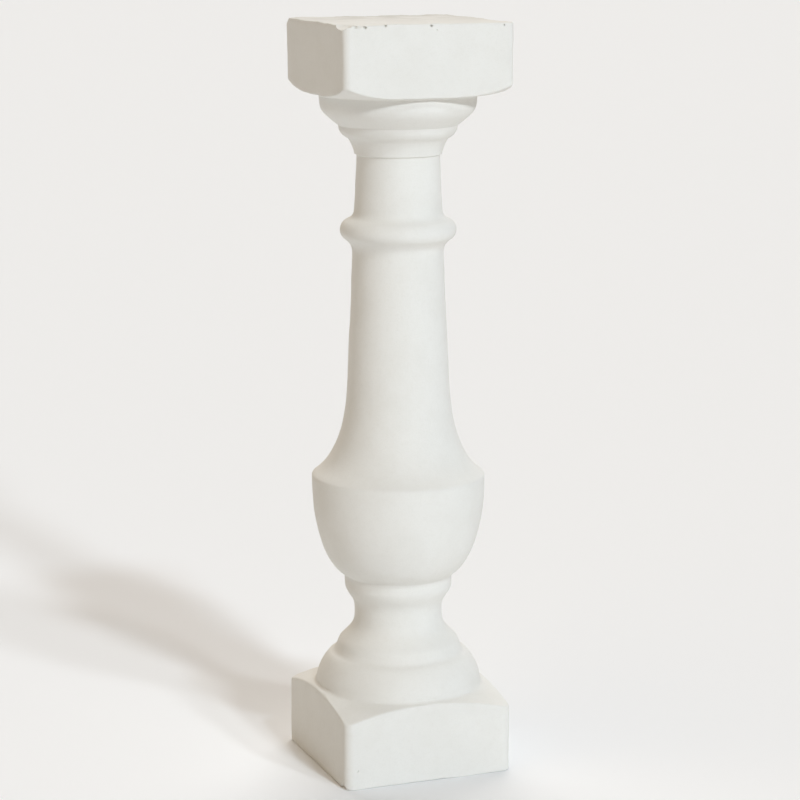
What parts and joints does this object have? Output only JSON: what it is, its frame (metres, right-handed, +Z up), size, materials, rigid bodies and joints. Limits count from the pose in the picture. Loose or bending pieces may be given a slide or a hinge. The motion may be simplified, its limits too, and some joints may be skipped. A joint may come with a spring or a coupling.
{
  "type": "stone baluster",
  "caption": "Cast stone baluster: square blocks at base and top, and a turned vase-shaped body with rings and a tapered shaft between them.",
  "frame": {"origin": "centre of the underside of the base block", "axes": "+Z up along the turned axis; X and Y square to the faces of the blocks"},
  "size_m": [0.1684, 0.1684, 0.7092],
  "materials": {
    "cast_stone": "matt, fine-grained, as cast"
  },
  "bodies": {
    "root": {"baluster": "cast_stone"}
  },
  "joints": []
}
